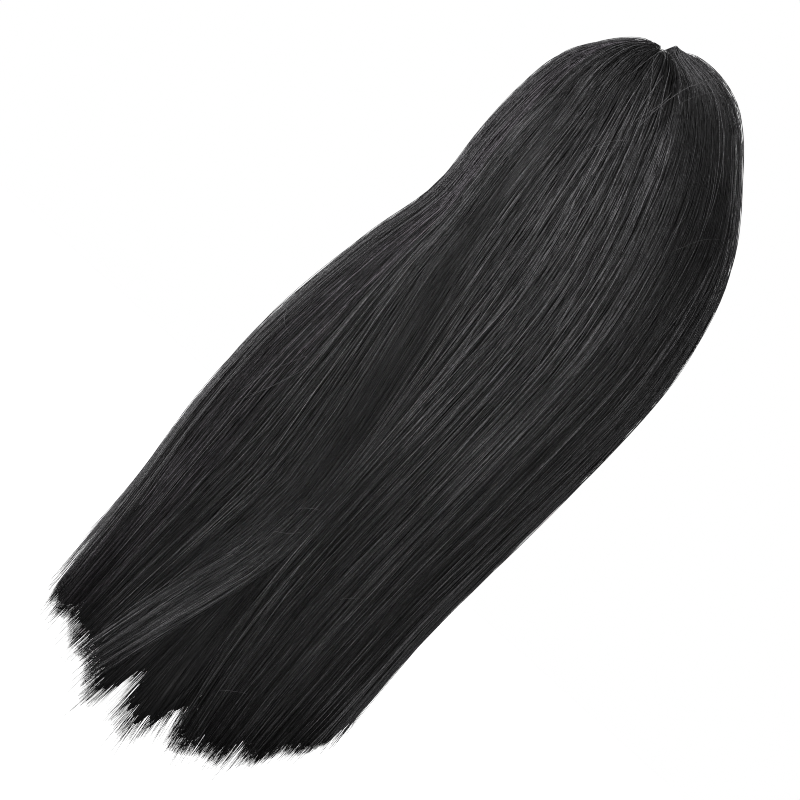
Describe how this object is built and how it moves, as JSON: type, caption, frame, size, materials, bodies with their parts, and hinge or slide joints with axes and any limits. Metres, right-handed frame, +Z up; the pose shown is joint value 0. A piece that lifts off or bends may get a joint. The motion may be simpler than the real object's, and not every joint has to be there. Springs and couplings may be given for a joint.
{
  "type": "long straight wig",
  "caption": "Long straight black wig in its worn form: overlapping locks of hair on a thin stretch cap, parted left of the middle, open for the face and neck.",
  "frame": {"origin": "inside top of the cap, where the crown of the wearer's head sits", "axes": "+Z up along the upright head, the wearer faces -Y, +X to the wearer's left"},
  "size_m": [0.242, 0.1895, 0.6175],
  "materials": {
    "hair": "straight synthetic hair fibre, near black, soft sheen along the strands",
    "cap": "black stretch net"
  },
  "bodies": {
    "root": {"cap": "cap", "hair_left_1": "hair", "hair_left_2": "hair", "hair_left_3": "hair", "hair_left_4": "hair", "hair_back_1": "hair", "hair_back_2": "hair", "hair_back_3": "hair", "hair_back_4": "hair", "hair_back_5": "hair", "hair_back_6": "hair", "hair_back_7": "hair", "hair_right_4": "hair", "hair_right_3": "hair", "hair_right_2": "hair", "hair_right_1": "hair"}
  },
  "joints": []
}
